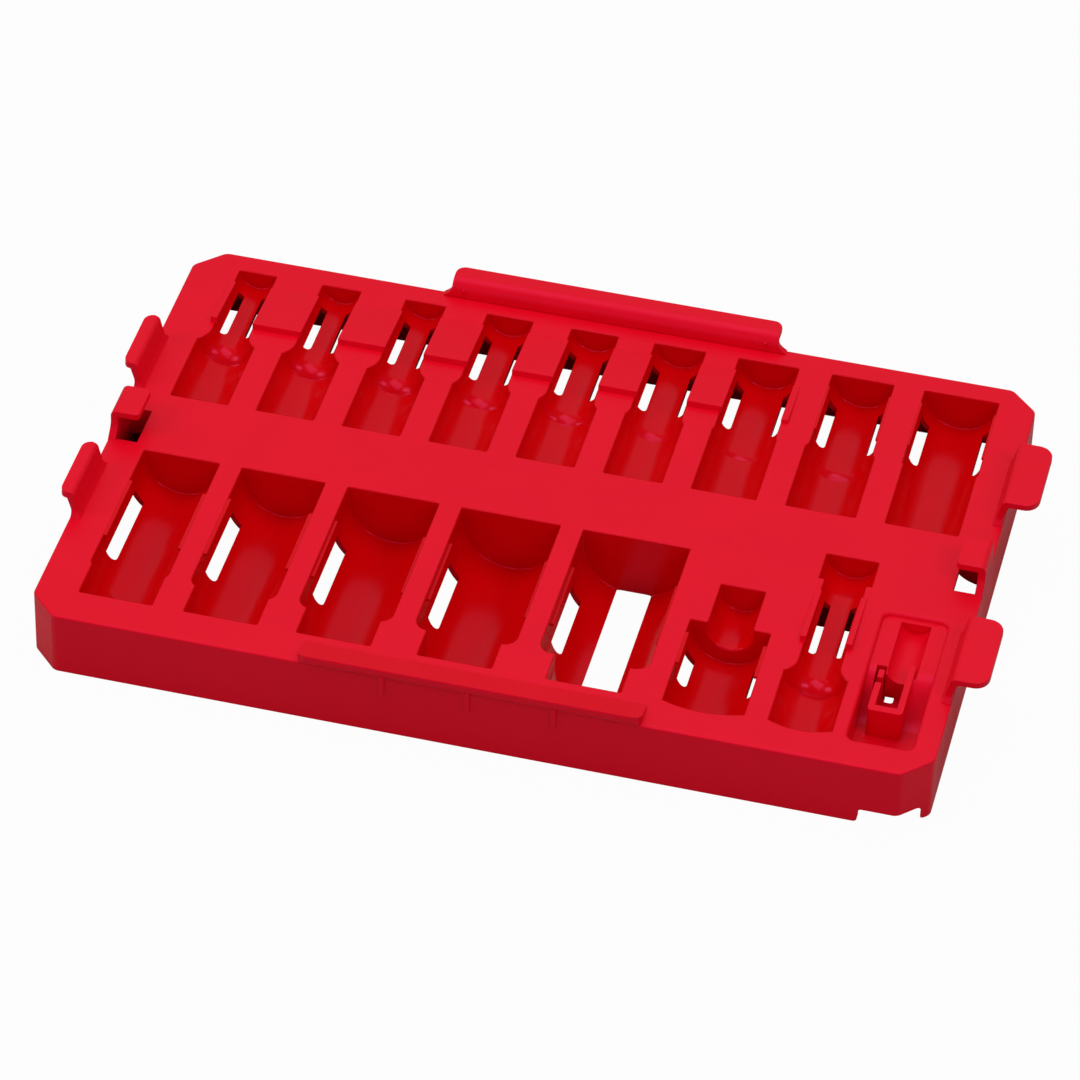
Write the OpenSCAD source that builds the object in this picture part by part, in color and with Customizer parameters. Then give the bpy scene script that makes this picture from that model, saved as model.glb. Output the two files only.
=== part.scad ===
// Lift-out tray that sorts deep sockets, an extension bar and two drive adapters.
// The real tray is one thin moulding, open below. Here each region of it is its own solid, and
// they meet face to face: deck strips, skirt walls, pocket shells, rails, catches and hook tabs.
// X runs across the tray, Y from its front edge to its rear edge, Z up from the rim it stands on.

/* [Tray] */
// Width over the side walls
tray_w = 270; // [245:1:300]
// Depth over the front and rear walls
tray_d = 180; // [162:1:205]
// Height of the deck's top over the rim
deck_h = 21.3; // [21:0.1:26]
// Thickness of the deck
deck_t = 2.5; // [2:0.1:3]
// Thickness of the skirt walls
wall_t = 2; // [1.5:0.1:2.5]
// Thickness of the pocket shells
shell_t = 1.6; // [1.2:0.1:1.9]
// Leg of the slanted corners
corner_cut = 8.5; // [4:0.5:8.5]
// Height of the cut-out under the front right corner
notch_h = 4.9; // [2:0.1:8]
// Length of the cut-out along the front edge, from the right edge
notch_l = 20; // [14:0.5:40]
// Rounded foot left beside the cut-out, along the front edge
toe_w = 3; // [2:0.1:5]

/* [Rear pockets] */
// Deck beside both rows of pockets, on the left
row_margin = 12.1; // [10:0.1:14]
// Deck behind the rear pockets
rear_margin = 7.5; // [6:0.1:9]
// Deck between the two rows
row_gap = 27.4; // [20:0.1:32]
// Length of the rear pockets
rear_l = 65.2; // [63:0.1:66]
// Deck between the rear pockets' drive ends
rear_gap = 9.2; // [7:0.1:11]
// Length of the drive end, up to the shoulder
rear_drive_l = 29; // [26:0.5:32]
// Width of each drive end
rear_drive_w = [18.1, 18.1, 18.1, 18.1, 18.1, 18.1, 19.9, 21.3, 22.3]; // each [17:0.1:23]
// Width of each nose end
rear_nose_w = [12, 12.4, 12.8, 14.7, 14.9, 16.1, 19, 19.4, 23.2]; // each [11:0.1:24]
// Depth of each pocket's axis below the deck's top
rear_drop = [0, 0, 0, 0, 0, 0, 0.6, 1.3, 1.1]; // each [0:0.1:2]
// Radius of the shoulder that rounds over from a narrower end down into the drive end
crest_r = 6.5; // [5:0.1:8]

/* [Front pockets] */
// Deck in front of the front pockets
front_margin = 12.5; // [11:0.1:14]
// Length of the front pockets
front_l = 67.4; // [66:0.1:68]
// Deck between two pockets of the front row
front_gap = 7.15; // [6:0.05:8]
// Length of the drive end, up to where the nose end's rounded corner starts
front_drive_l = 15.2; // [13:0.1:17]
// Width of the drive ends
front_drive_w = 22.3; // [21:0.1:23]
// Width of each nose end
front_nose_w = [23.8, 26, 28.3, 30.4, 32.6]; // each [23:0.1:33]
// Depth of each pocket's axis below the deck's top
front_drop = [2.7, 3.5, 4.6, 5.3, 5.9]; // each [2:0.1:7]
// Radius of the nose end's front corners
shoulder_r = 4; // [3:0.1:4.5]

/* [Snap lips] */
// Height of the lands between the rear pockets, at their front edge
land_h = 2; // [1:0.1:2.2]
// How far a land reaches over the pocket on its right
land_reach = 0.5; // [0:0.1:0.8]
// How far a lip reaches over its pocket
lip_reach = 1; // [0.6:0.1:1.2]
// Thickness of a lip
lip_t = 1; // [0.8:0.1:1.4]
// Height of the front pockets' lips over the pocket's axis
lip_rise = 3.4; // [3:0.1:3.6]
// Length of the rear pockets' lips
rear_lip_l = 21.2; // [16:0.1:24]
// Deck between the rear pockets' rear end and their lips
rear_lip_y = 6.1; // [5:0.1:8]
// Length of the front pockets' lips
front_lip_l = 26; // [20:0.5:28]
// Wall between the front pockets' rear end and their lips
front_lip_y = 14.9; // [12:0.1:16]
// Width of the window below each lip
window_w = 3.2; // [2.5:0.1:3.4]
// Depth of the wall left over a window, below the pocket's axis
sill_drop = 3.8; // [3.2:0.1:4.4]

/* [Swivel pocket] */
// Width of the wide front part
swivel_w = 24.1; // [23:0.1:24.5]
// Width of the neck
swivel_neck_w = 13.4; // [12:0.1:15]
// Length of the wide part along its sides
swivel_l = 36.7; // [34:0.1:38]
// Length of the neck
swivel_neck_l = 17.7; // [15:0.1:20]
// Depth of the axis below the deck's top
swivel_drop = 2.5; // [2:0.1:3]

/* [Extension pocket] */
// Width of the drive end in front
bar_drive_w = 18.7; // [18:0.1:18.8]
// Width of the neck
bar_neck_w = 12.4; // [11:0.1:13.5]
// Width of the square end behind
bar_end_w = 15.8; // [15:0.1:17]
// Length of the drive end along its sides, up to the shoulder
bar_drive_l = 22; // [20:0.5:24]
// Length of the square end
bar_end_l = 11.4; // [10:0.1:13]
// Length of the whole pocket along its middle
bar_l = 78.2; // [77:0.1:79]
// Bow of the front ends of this pocket and the swivel pocket
bow = 2.2; // [1:0.1:2.6]
// How far behind the other pockets' front ends the bowed ends' corners lie
end_step = 0.4; // [0:0.1:1]

/* [Adapter well] */
// Deck between the extension pocket and the well
well_gap = 4.55; // [4:0.05:6]
// Deck beside the well, on the right
well_margin = 7.25; // [6:0.05:9]
// Width of the well
well_w = 19.3; // [19:0.1:19.5]
// Length of the well
well_l = 56.7; // [56:0.1:58]
// Depth of the shallow rear floor below the deck's top
shallow_d = 1.2; // [0.8:0.1:1.6]
// Depth of the deep front floor below the deck's top
deep_d = 11.3; // [10:0.1:12]
// Width of the groove in the shallow floor
groove_w = 9.3; // [8:0.1:9.5]
// Depth of the groove below the deck's top
groove_d = 4.8; // [4:0.1:5]
// Clear width inside the square holder
holder_in = 6.5; // [6.4:0.05:6.8]
// Thickness of the holder's walls
holder_t = 1.95; // [1.6:0.05:2.4]
// Length of the holder along its right wall
holder_l = 21.9; // [21:0.1:23]
// Length of the holder's left wall, in front of the spring finger
holder_left_l = 12.3; // [11:0.1:12.8]
// How far left of the well's middle the holder stands
holder_shift = 1.4; // [1:0.1:1.8]
// How far right of the well's middle the groove runs
groove_shift = 0.3; // [0:0.1:0.5]
// Width of the spring finger along the holder's wall
finger_w = 3.7; // [3:0.1:4.2]
// Gap in front of the finger and behind it
finger_gap = 2.2; // [1.5:0.1:2.6]

/* [Rails and tabs] */
// Length of the rear rail
rail_l = 104.8; // [90:0.1:120]
// Height of the rear rail over the deck
rail_h = 5.9; // [4:0.1:8]
// How far the rear rail's lip reaches past the rear wall
rail_reach = 6.4; // [4:0.1:8]
// How far left of the tray's middle the front flange sits
flange_shift = 0.9; // [0:0.1:3]
// Length of the front flange
flange_l = 102.6; // [90:0.1:120]
// Height of the front flange over the deck
flange_h = 3.6; // [2:0.1:5]
// How far the front flange reaches past the front wall
flange_reach = 0.9; // [0.5:0.1:1.5]
// Top of the hook tabs and side catches over the deck
hook_h = 8.6; // [7:0.1:12]
// Thickness of the hook tabs, rails and catches
hook_t = 2.2; // [1.8:0.1:2.4]
// How far the right hook tabs reach past the side wall
right_reach = 9.8; // [6:0.1:12]
// How far the left hook tabs reach past the side wall
left_reach = 3.4; // [2.5:0.1:6]
// Length of the right hook tabs
right_tab_l = 29; // [24:0.5:32]
// Length of the left hook tabs
left_tab_l = 24.5; // [22:0.5:27]
// Deck between the left hook tabs' roots and the side catch
left_tab_gap = 8.9; // [6:0.1:12]
// Deck between the front right hook tab's root and the side catch
front_tab_gap = 15.1; // [10:0.1:18]
// Deck between the side catch and the rear right hook tab's root
rear_tab_gap = 16.5; // [10:0.1:18]
// Length of the hole under a side catch
catch_l = 15.5; // [12:0.5:17]
// Width of the hole under a side catch
catch_w = 7; // [5:0.1:7.5]
// Radial play between a tab's root bead and its groove
root_play = 0.05; // [0.03:0.01:0.08]

/* [Hidden] */
$fn = 64;
red = [0.83, 0.09, 0.13];
deep_red = [0.74, 0.03, 0.06];
cut = 1;                       // how far a cutter runs past a face

// The origin is the middle of the whole part's footprint, so the tray's own edges are offset by
// what the tabs, the rail and the flange add on each side.
x0 = -(tray_w + right_reach - left_reach) / 2;
x1 = x0 + tray_w;
y0 = -(tray_d + rail_reach - flange_reach) / 2;
y1 = y0 + tray_d;

// The pockets keep their sizes when the tray's width or depth changes, because tools fit them.
// The strips of deck around them share what is left: each keeps the walls that it holds, and the
// rest of it grows or shrinks with the others.
function total(v, n) = n == 0 ? 0 : v[n - 1] + total(v, n - 1);
function shared(named, walls, room) =
    let (n = len(named), k = (room - total(walls, n)) / (total(named, n) - total(walls, n)))
    [for (i = [0:n - 1]) walls[i] + k * (named[i] - walls[i])];
side_walls = wall_t + shell_t;

rear_n = len(rear_drive_w);
rear_strips = shared(
    [row_margin, for (i = [2:rear_n]) rear_gap, row_margin],
    [side_walls, for (i = [2:rear_n]) 2 * shell_t, side_walls],
    tray_w - total(rear_drive_w, rear_n));
front_w = [for (w = front_nose_w) w, swivel_w, bar_drive_w, well_w];
front_all = len(front_w);
front_n = len(front_nose_w);
front_strips = shared(
    [row_margin, for (i = [3:front_all]) front_gap, well_gap, well_margin],
    [side_walls, for (i = [2:front_all]) 2 * shell_t, side_walls],
    tray_w - total(front_w, front_all));
// How far the extension pocket reaches past the front pockets, and the bowed ends in front of them
bar_over = bar_l - bow + end_step - front_l;
bow_over = bow - end_step;
depth_strips = shared(
    [front_margin, row_gap, rear_margin],
    [side_walls + bow_over, bar_over + 2 * shell_t, side_walls],
    tray_d - front_l - rear_l);

rear_y1 = y1 - depth_strips[2];
rear_y0 = rear_y1 - rear_l;
rear_step_y = rear_y0 + rear_drive_l;
front_y0 = y0 + depth_strips[0];
front_y1 = front_y0 + front_l;
front_step_y = front_y0 + front_drive_l;
deck_front_y = front_y0 - bow_over;

// Middle of each pocket across the tray
function rear_cx(i) = x0 + total(rear_strips, i + 1) + total(rear_drive_w, i) + rear_drive_w[i] / 2;
function front_cx(i) = x0 + total(front_strips, i + 1) + total(front_w, i) + front_w[i] / 2;
swivel_cx = front_cx(front_n);
bar_cx = front_cx(front_n + 1);
well_cx = front_cx(front_n + 2);

// Points of an arc, in degrees
function arc(cx, cy, r, from, to, n = 6) =
    [for (k = [0:n]) let (a = from + (to - from) * k / n) [cx + r * cos(a), cy + r * sin(a)]];
// Points of a front end that bows out towards the middle
function bowed_end(r, y, g, n = 4) =
    [for (k = [0:n]) let (s = k / n) [(r + g) * s, y - g - bow * (1 - s * s)]];

// ---- Half outlines of the pockets: radius across, length up. Each is grown by g for the shell.

// Points of a shoulder that starts at a corner of the drive end and rounds over into a narrower end
function crest(drive, narrow, y, g) =
    let (s = drive - narrow, r = crest_r - g)
    arc(narrow + crest_r, y + crest_r * sin(acos(1 - s / crest_r)), r, 180 + acos(1 - s / r), 180);

// Rear row: a wide drive end in front, then a rounded shoulder and a narrower nose end.
function rear_outline(i, g) =
    let (drive = rear_drive_w[i] / 2, nose = rear_nose_w[i] / 2, s = drive - nose)
    concat(
        [[0, rear_y0 - g], [drive + g, rear_y0 - g]],
        s > 0 ? crest(drive, nose, rear_step_y, g)
              : [[drive + g, rear_step_y - g], [nose + g, rear_step_y - g]],
        [[nose + g, rear_y1 + g], [0, rear_y1 + g]]);

// Front row: a narrow drive end in front and a wider nose end with rounded front corners.
function front_outline(i, g) =
    let (drive = front_drive_w / 2, nose = front_nose_w[i] / 2, cx = nose - shoulder_r, r = shoulder_r + g,
         c = max(0, (drive + g - cx) / r))
    concat(
        [[0, front_y0 - g], [drive + g, front_y0 - g]],
        c == 0 ? [[drive + g, front_step_y - r]] : [],
        arc(cx, front_step_y, r, -acos(c), 0),
        [[nose + g, front_y1 + g], [0, front_y1 + g]]);

swivel_step_y = front_y0 + swivel_l;
swivel_y1 = swivel_step_y + swivel_neck_l;
function swivel_outline(g) = concat(
    bowed_end(swivel_w / 2, front_y0 + end_step, g),
    [[swivel_w / 2 + g, swivel_step_y + g], [swivel_neck_w / 2 + g, swivel_step_y + g],
     [swivel_neck_w / 2 + g, swivel_y1 + g], [0, swivel_y1 + g]]);

bar_y0 = front_y0 + end_step;
bar_y1 = bar_y0 - bow + bar_l;
bar_step_y = bar_y0 + bar_drive_l;
function bar_outline(g) =
    let (neck = bar_neck_w / 2)
    concat(
        bowed_end(bar_drive_w / 2, bar_y0, g),
        crest(bar_drive_w / 2, neck, bar_step_y, g),
        [[neck + g, bar_y1 - bar_end_l - g], [bar_end_w / 2 + g, bar_y1 - bar_end_l - g],
         [bar_end_w / 2 + g, bar_y1 + g], [0, bar_y1 + g]]);

// ---- Shapes shared by the pockets

// Plan of a pocket from its half outline
module plan(points) {
    polygon(points);
    mirror([1, 0]) polygon(points);
}

// Round-bottomed solid below the axis, with straight sides from straight_z up to top_z
module trough(points, axis_z, straight_z, top_z) {
    translate([0, 0, axis_z]) rotate([-90, 0, 0]) rotate_extrude(angle = 180, $fn = 96) polygon(points);
    translate([0, 0, straight_z]) linear_extrude(top_z - straight_z) plan(points);
}

// Shell of a pocket: the outline grown by the shell's thickness, less the pocket itself, less
// the windows below the lips, and cut off level with the rim
module shell(outer, inner, drop, wall_r, win_y, win_l) {
    axis_z = deck_h - drop;
    difference() {
        trough(outer, axis_z, min(axis_z, deck_h - deck_t), deck_h);
        trough(inner, axis_z, axis_z, deck_h + cut);
        for (side = [0, 1]) mirror([side, 0, 0]) {
            translate([wall_r - window_w, win_y, -cut]) cube([window_w, win_l, deck_h + 2 * cut]);
            translate([wall_r - window_w, win_y, -cut])
                cube([window_w + 2 * shell_t, win_l, axis_z - sill_drop + cut]);
        }
        translate([-tray_w, -tray_d, -deck_h]) cube([2 * tray_w, 2 * tray_d, deck_h]);
    }
}

// The two lips along a pocket's walls, from bottom_z up
module lips(wall_r, lip_y, lip_l, bottom_z, reach) {
    for (side = [0, 1]) mirror([side, 0, 0])
        translate([wall_r - reach, lip_y, bottom_z]) cube([reach + shell_t, lip_l, lip_t]);
}

// Low wedge on the deck's top that rises towards the front, from yb forward to ya
module wedge(xa, width, ya, yb, height) {
    along_x(xa, width) polygon([[ya, deck_h], [yb, deck_h], [yb, deck_h + height / 10], [ya, deck_h + height]]);
}

// ---- Pocket shells

module rear_pocket(i) {
    wall_r = rear_nose_w[i] / 2;
    lip_y = rear_y1 - rear_lip_y - rear_lip_l;
    color(deep_red) translate([rear_cx(i), 0, 0]) {
        shell(rear_outline(i, shell_t), rear_outline(i, 0), rear_drop[i], wall_r, lip_y, rear_lip_l);
        if (i >= rear_n - 2) lips(wall_r, lip_y, rear_lip_l, deck_h - lip_t, lip_reach / 2);
        if (i == 0) wedge(-wall_r - shell_t, shell_t + land_reach, lip_y, lip_y + rear_lip_l, land_h);
    }
}

module front_pocket(i) {
    wall_r = front_nose_w[i] / 2;
    lip_y = front_y1 - front_lip_y - front_lip_l;
    color(deep_red) translate([front_cx(i), 0, 0]) {
        shell(front_outline(i, shell_t), front_outline(i, 0), front_drop[i], wall_r, lip_y, front_lip_l);
        lips(wall_r, lip_y, front_lip_l, deck_h - front_drop[i] + lip_rise - lip_t, lip_reach);
    }
}

swivel_lip_l = 13.5;
swivel_lip_step = 6;           // from the lips back to the shoulder
swivel_lip_y = swivel_step_y - swivel_lip_step - swivel_lip_l;
module swivel_pocket() {
    color(deep_red) translate([swivel_cx, 0, 0]) {
        shell(swivel_outline(shell_t), swivel_outline(0), swivel_drop,
              swivel_w / 2, swivel_lip_y, swivel_lip_l);
        lips(swivel_w / 2, swivel_lip_y, swivel_lip_l, deck_h - lip_t, lip_reach);
    }
}

bar_lip_l = 23.5;
bar_lip_step = 5.5;            // from the lips back to the square end
bar_lip_y = bar_y1 - bar_end_l - bar_lip_step - bar_lip_l;
bar_lip_reach = 0.3;
module extension_pocket() {
    color(deep_red) translate([bar_cx, 0, 0]) {
        shell(bar_outline(shell_t), bar_outline(0), 0, bar_neck_w / 2, bar_lip_y, bar_lip_l);
        for (side = [0, 1]) mirror([side, 0, 0])
            wedge(bar_neck_w / 2 - bar_lip_reach, bar_lip_reach + shell_t,
                  bar_lip_y, bar_lip_y + bar_lip_l, land_h);
    }
}

// ---- Adapter well: a shallow floor behind with a round groove in it, a slope down to a deep
// floor in front, and a square holder standing on the slope. It fits the narrow adapters.

well_step = 1.5;               // from the front pockets' front ends to the well's
well_y0 = front_y0 - well_step;
well_y1 = well_y0 + well_l;
well_r = 2.5;                  // corners of the well
shallow_z = deck_h - shallow_d;
deep_z = deck_h - deep_d;
shallow_l = 21.7;              // length of the shallow floor
slope_run = 16;
slope_top_y = well_y1 - shallow_l;
slope_foot_y = slope_top_y - slope_run;
// Half a cosine wave from the shallow floor down to the deep one
function slope(n = 12) =
    [for (k = [0:n]) [slope_top_y + (slope_foot_y - slope_top_y) * k / n,
                      deep_z + (shallow_z - deep_z) * (1 + cos(180 * k / n)) / 2]];
// Floor line from the rear to the front, with the round up to the deck at the front end
front_round = 8;               // radius of the round up to the deck
function floor_line() = concat(
    [[well_y1 + shell_t + cut, shallow_z]], slope(),
    arc(well_y0 + front_round, deep_z + front_round, front_round, 270, 180));

module well_plan(g) {
    w = well_w + 2 * g;
    l = well_l + 2 * g;
    r = well_r + g;
    translate([-w / 2, well_y0 - g]) {
        translate([r, 0]) square([w - 2 * r, l]);
        translate([0, r]) square([w, l - 2 * r]);
        for (x = [r, w - r], y = [r, l - r]) translate([x, y]) circle(r);
    }
}

// Everything above the floor line, from drop lower than it
module above_floor(g, drop) {
    top = deck_h + 2 * cut;
    line = floor_line();
    last = line[len(line) - 1];
    intersection() {
        linear_extrude(top) well_plan(g);
        translate([-well_w, 0, -drop]) rotate([90, 0, 90]) linear_extrude(2 * well_w)
            polygon(concat([[well_y1 + shell_t + cut, top + drop]], line,
                           [[last[0] - drop, last[1]], [last[0] - drop, top + drop]]));
    }
}

holder_step = 4;               // from the slope's foot forward to the holder's front
holder_y0 = slope_foot_y - holder_step;
holder_x = -holder_shift;
holder_front_t = 2.5;
holder_out = holder_in + 2 * holder_t;
pit_l = 17.1;                  // from the holder's front back to the end of its pit
step_y = holder_y0 + pit_l;    // where the groove's floor ends over the pit
groove_end = 1.7;              // shallow floor left behind the groove
groove_y1 = well_y1 - groove_end;
groove_z = deck_h - groove_d + groove_w / 2;
finger_y0 = holder_y0 + holder_left_l + finger_gap;
finger_x = holder_x - (holder_in + holder_t) / 2;
finger_root_z = deep_z + 2.2;
finger_play = 0.3;             // between the finger and the groove's shell
finger_swing = 1;              // room for the finger to spring outwards
bead_r = holder_t / 2;
slot_floor_t = 2;
pit_hole = [2.7, 3.6, 2];      // hole at the foot of the pit's rear wall, up from the pit's floor
pit_hole_step = 1.6;           // from the hole's front back to the pit's rear wall

// The groove, grown by g for the shell below it
module groove(g, top) {
    intersection() {
        translate([groove_shift, step_y, groove_z]) rotate([-90, 0, 0])
            cylinder(r = groove_w / 2 + g, h = groove_y1 - step_y + g);
        translate([-well_w, step_y, 0]) cube([2 * well_w, well_l, top]);
    }
}
// The pit inside the holder
module pit(g, top) {
    translate([holder_x - holder_in / 2 - g, holder_y0 + holder_front_t - g, deep_z - g])
        cube([holder_in + 2 * g, step_y - holder_y0 - holder_front_t + 2 * g, top - deep_z + g]);
}
// The slot that the finger stands in
module finger_slot(g, bottom, top) {
    l = finger_w + 2 * finger_gap;
    translate([finger_x - holder_t / 2 - finger_swing - g, finger_y0 - finger_gap - g, bottom])
        cube([holder_t + finger_swing + finger_play + 2 * g, l + 2 * g, top - bottom]);
}

module adapter_well() {
    bead_l = finger_w + 2 * finger_play;
    color(red) translate([well_cx, 0, 0]) difference() {
        union() {
            intersection() {
                above_floor(shell_t, shell_t);
                translate([-well_w, y0, 0]) cube([2 * well_w, tray_d, deck_h]);
            }
            groove(shell_t, shallow_z);
            pit(shell_t, shallow_z);
            finger_slot(shell_t, finger_root_z - slot_floor_t, shallow_z);
        }
        above_floor(0, 0);
        groove(0, deck_h + cut);
        pit(0, deck_h + cut);
        finger_slot(0, finger_root_z, deck_h + cut);
        translate([finger_x, finger_y0 - finger_play, finger_root_z]) rotate([-90, 0, 0])
            cylinder(r = bead_r + root_play, h = bead_l, $fn = 48);
        translate([holder_x - holder_in / 2 + finger_play, step_y - pit_hole_step, -cut])
            cube([pit_hole[0], pit_hole[1], deep_z + pit_hole[2] + cut]);
    }
}

module adapter_holder() {
    color(red) translate([well_cx, 0, 0]) intersection() {
        union() {
            above_floor(0, 0);
            groove(0, deck_h);
        }
        difference() {
            translate([holder_x - holder_out / 2, holder_y0, 0]) cube([holder_out, holder_l, shallow_z]);
            pit(0, deck_h);
            translate([holder_x - holder_in / 2, step_y - cut, -cut]) cube([holder_in, holder_l, deck_h]);
            translate([holder_x - holder_in / 2 - holder_t - cut, holder_y0 + holder_left_l, -cut])
                cube([holder_t + 2 * cut, holder_l, deck_h]);
        }
    }
}

module holder_finger() {
    h = shallow_z - finger_root_z;
    nub_r = 0.6;
    color(red) translate([well_cx + finger_x, finger_y0, finger_root_z]) {
        rotate([-90, 0, 0]) cylinder(r = bead_r, h = finger_w, $fn = 48);
        translate([-bead_r, 0, 0]) cube([holder_t, finger_w, h]);
        translate([bead_r - nub_r / 4, finger_w / 2, h - 2 * nub_r]) sphere(nub_r, $fn = 32);
    }
}

// ---- Deck and skirt

module tray_plan(inset = 0) {
    a = inset;
    c = corner_cut + inset * (sqrt(2) - 1);
    polygon([[x0 + c, y0 + a], [x1 - c, y0 + a], [x1 - a, y0 + c], [x1 - a, y1 - c],
             [x1 - c, y1 - a], [x0 + c, y1 - a], [x0 + a, y1 - c], [x0 + a, y0 + c]]);
}

module all_pocket_plans() {
    for (i = [0:rear_n - 1]) translate([rear_cx(i), 0]) plan(rear_outline(i, shell_t));
    for (i = [0:front_n - 1]) translate([front_cx(i), 0]) plan(front_outline(i, shell_t));
    translate([swivel_cx, 0]) plan(swivel_outline(shell_t));
    translate([bar_cx, 0]) plan(bar_outline(shell_t));
    translate([well_cx, 0]) well_plan(shell_t);
}

// Part of the deck inside one rectangle, around the pockets
module deck_zone(xa, ya, xb, yb) {
    translate([0, 0, deck_h - deck_t]) linear_extrude(deck_t) difference() {
        intersection() {
            tray_plan();
            translate([xa, ya]) square([xb - xa, yb - ya]);
        }
        all_pocket_plans();
    }
}

catch_step = 2.7;              // from the front pockets' rear ends back to the holes
catch_y0 = front_y1 + catch_step;
catch_inset = 1.5;             // from a hole's front end back to the catch over it
catch_flare = 4;               // how far the catch's wall spreads forward on the deck
module catch_holes() {
    for (x = [x0 + wall_t, x1 - wall_t - catch_w])
        translate([x, catch_y0, 0]) cube([catch_w, catch_l, deck_h + cut]);
}

// Grooves for the hook tabs' root beads
module root_grooves() {
    for (t = tabs) translate([t[0], t[1] - root_flare - root_gap, deck_h]) rotate([-90, 0, 0])
        cylinder(r = hook_t / 2 + root_play, h = t[2] + 2 * (root_flare + root_gap), $fn = 48);
}

// The deck's side strips run in to the middles of the first rear pocket and of the adapter well
edge_left = rear_cx(0);
edge_right = well_cx;
module deck_left() {
    color(red) difference() {
        deck_zone(x0, deck_front_y, edge_left, rear_y1);
        catch_holes();
        root_grooves();
    }
}
module deck_right() {
    color(red) difference() {
        deck_zone(edge_right, deck_front_y, x1, rear_y1);
        catch_holes();
        root_grooves();
    }
}
module deck_middle() { color(red) deck_zone(edge_left, front_y1, edge_right, rear_y0); }
module deck_rear() { color(red) deck_zone(x0, rear_y1, x1, y1); }
module deck_front() { color(red) deck_zone(x0, y0, x1, deck_front_y); }

// Web of deck between two rear pockets, with the raised land whose right edge is the snap lip. The
// land beside the last of the narrow pockets is a short strip.
short_land = [2.2, 2.7, 0.6];  // its width, how much shorter it is than the others, and its height
module rear_web(i) {
    xb = i == rear_n - 2 ? edge_right : rear_cx(i + 1);
    land_x = rear_cx(i) + rear_nose_w[i] / 2;
    land_y = rear_y1 - rear_lip_y - rear_lip_l;
    color(red) {
        deck_zone(rear_cx(i), rear_y0, xb, rear_y1);
        if (i < rear_n - 3)
            wedge(land_x, rear_cx(i + 1) - rear_nose_w[i + 1] / 2 + land_reach - land_x,
                  land_y, land_y + rear_lip_l, land_h);
        if (i == rear_n - 3)
            wedge(land_x, short_land[0], land_y, land_y + rear_lip_l - short_land[1], short_land[2] * land_h);
    }
}

// Web of deck between two front pockets
front_centres = [for (i = [0:front_n - 1]) front_cx(i), swivel_cx, bar_cx, well_cx];
module front_web(i) {
    color(red) deck_zone(front_centres[i], deck_front_y, front_centres[i + 1], front_y1);
}

// One stretch of the skirt, below the deck
module skirt(xa, ya, xb, yb) {
    linear_extrude(deck_h - deck_t) intersection() {
        difference() {
            tray_plan();
            tray_plan(wall_t);
        }
        translate([xa, ya]) square([xb - xa, yb - ya]);
    }
}

flange_x = (x0 + x1 - flange_l) / 2 - flange_shift;
gusset_t = 1.2;
gusset_h = 6.3;                // from the deck's top down to a rib's foot
module front_wall() {
    color(red) {
        difference() {
            skirt(x0, y0, x1, y0 + corner_cut);
            translate([x1 - notch_l, y0 - cut, -cut])
                cube([notch_l - toe_w, corner_cut + cut - toe_w / 2, notch_h + cut]);
        }
        // ribs under the front flange, at its quarter points
        for (s = [1:3])
            translate([flange_x + flange_l * s / 4 - gusset_t / 2, y0 - flange_reach, deck_h - gusset_h]) {
                cube([gusset_t, flange_reach, gusset_h]);
                cube([gusset_t, flange_reach + wall_t / 2, gusset_h - deck_t]);
            }
    }
}
module rear_wall() { color(red) skirt(x0, y1 - corner_cut, x1, y1); }
module left_wall() { color(red) skirt(x0, y0 + corner_cut, x0 + corner_cut, y1 - corner_cut); }
module right_wall() { color(red) skirt(x1 - corner_cut, y0 + corner_cut, x1, y1 - corner_cut); }

// ---- Rails, catches and hook tabs

// Strip of a profile in the Y-Z plane, from xa along X
module along_x(xa, l) {
    translate([xa, 0, 0]) rotate([90, 0, 90]) linear_extrude(l) children();
}
// Strip of a profile in the X-Z plane, from ya along Y
module along_y(ya, l) {
    translate([0, ya + l, 0]) rotate([90, 0, 0]) linear_extrude(l) children();
}

module rear_rail() {
    top = deck_h + rail_h;
    color(red) along_x((x0 + x1 - rail_l) / 2, rail_l)
        polygon(concat([[y1 - hook_t, deck_h], [y1, deck_h]],
                       [[y1, top - hook_t], [y1 + rail_reach, top - hook_t], [y1 + rail_reach, top]],
                       arc(y1 + hook_t, top - 2 * hook_t, 2 * hook_t, 90, 180)));
}

flange_clear = 3;              // deck left between the flange and the pockets
flange_edge = 1;               // slanted edge along the flange's crest
module front_flange() {
    crest_y = y0 - flange_reach;
    color(red) along_x(flange_x, flange_l)
        polygon([[front_y0 - flange_clear, deck_h], [crest_y + flange_edge, deck_h + flange_h],
                 [crest_y, deck_h + flange_h - flange_edge], [crest_y, deck_h], [y0, deck_h]]);
}

// Side catch: a wall on the tray's edge that carries a plate over the hole in the deck
catch_wall_t = 1.8;
module catch_profile() {
    top = deck_h + hook_h;
    reach = wall_t + catch_w;
    polygon([[0, deck_h], [0, top], [-reach, top], [-reach, top - hook_t],
             [-catch_wall_t, top - hook_t], [-catch_wall_t, deck_h]]);
}
module side_catch() {
    ya = catch_y0 + catch_inset;
    wall_h = hook_h - hook_t / 2;
    along_y(ya, catch_l - catch_inset) catch_profile();
    // the wall's front end widens down to the deck
    along_x(-catch_wall_t, catch_wall_t)
        polygon([[ya + cut, deck_h], [ya + cut, deck_h + wall_h], [ya, deck_h + wall_h],
                 [ya - catch_flare / 3, deck_h + wall_h / 2], [ya - catch_flare, deck_h]]);
}
module right_catch() { color(red) translate([x1, 0, 0]) side_catch(); }
module left_catch() { color(red) translate([x0, 0, 0]) mirror([1, 0, 0]) side_catch(); }

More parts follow.
